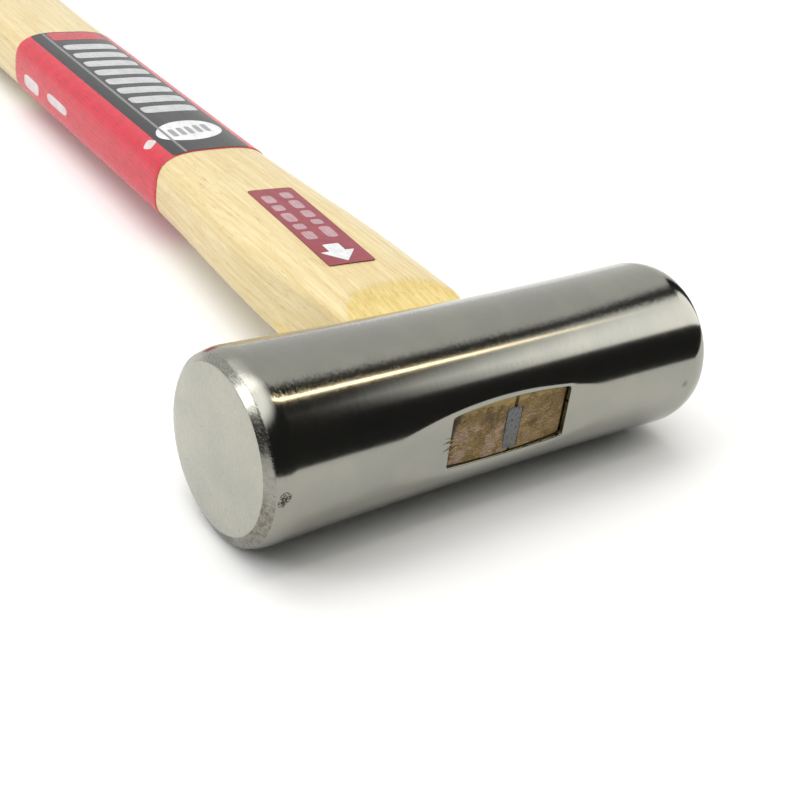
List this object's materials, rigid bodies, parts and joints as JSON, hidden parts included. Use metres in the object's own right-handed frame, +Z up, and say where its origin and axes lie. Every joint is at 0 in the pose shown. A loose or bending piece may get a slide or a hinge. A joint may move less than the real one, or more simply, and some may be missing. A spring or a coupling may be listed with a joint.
{
  "type": "two-faced club hammer",
  "caption": "Short heavy hammer with a cylindrical steel head, two bevelled flat striking faces and an oval wooden handle wedged through the eye.",
  "frame": {"origin": "middle of the footprint, on the plane that the hammer lies on", "axes": "+Z up from the bench, X along the head's axis, +Y from the head towards the butt of the handle; the handle falls by about 1.4 degrees towards its butt because both head and butt rest on the bench"},
  "size_m": [0.116, 0.34, 0.038],
  "materials": {
    "head_steel": "ground and polished bare steel with fine brushing along and round the head",
    "handle_wood": "pale hardwood with brown flecks under clear lacquer, bare at the tenon",
    "wedge_steel": "rough grey steel with pits",
    "wrap_film": "glossy printed film, red with a dark grey panel",
    "sticker_film": "satin maroon sticker with pale marks"
  },
  "bodies": {
    "root": {"head": "head_steel", "handle": "handle_wood", "steel_wedge": "wedge_steel", "wrap_label": "wrap_film", "arrow_sticker": "sticker_film"}
  },
  "joints": []
}
